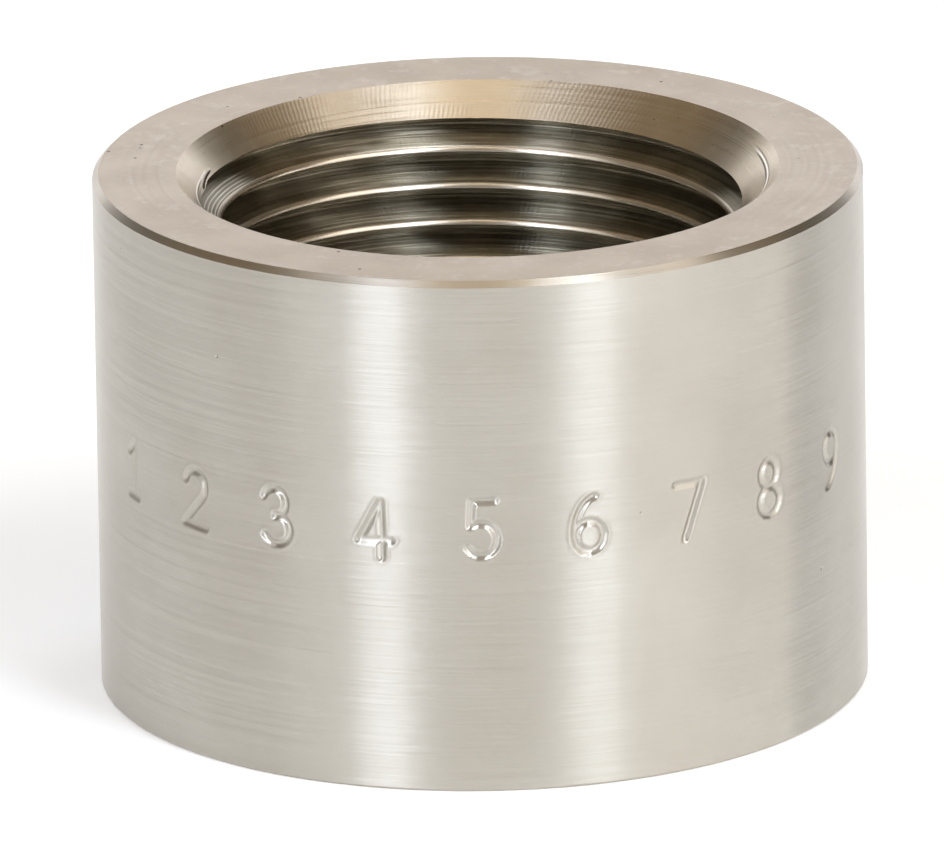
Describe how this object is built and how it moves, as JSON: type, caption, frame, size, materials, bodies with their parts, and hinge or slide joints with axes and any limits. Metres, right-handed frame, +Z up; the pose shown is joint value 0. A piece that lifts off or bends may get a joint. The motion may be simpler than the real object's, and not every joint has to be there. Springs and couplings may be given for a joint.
{
  "type": "threaded half coupling",
  "caption": "Short round stainless steel pipe coupling with a countersunk taper pipe thread at one end and a plain bored end for welding.",
  "frame": {"origin": "centre of the plain weld end, on the face that it rests on", "axes": "+Z up along the bore towards the threaded mouth, +X to the right and +Y to the back as the picture shows it"},
  "size_m": [0.0444, 0.0444, 0.0305],
  "materials": {
    "stainless_steel": "turned stainless steel with fine lathe lines"
  },
  "bodies": {
    "root": {"coupling_body": "stainless_steel"}
  },
  "joints": []
}
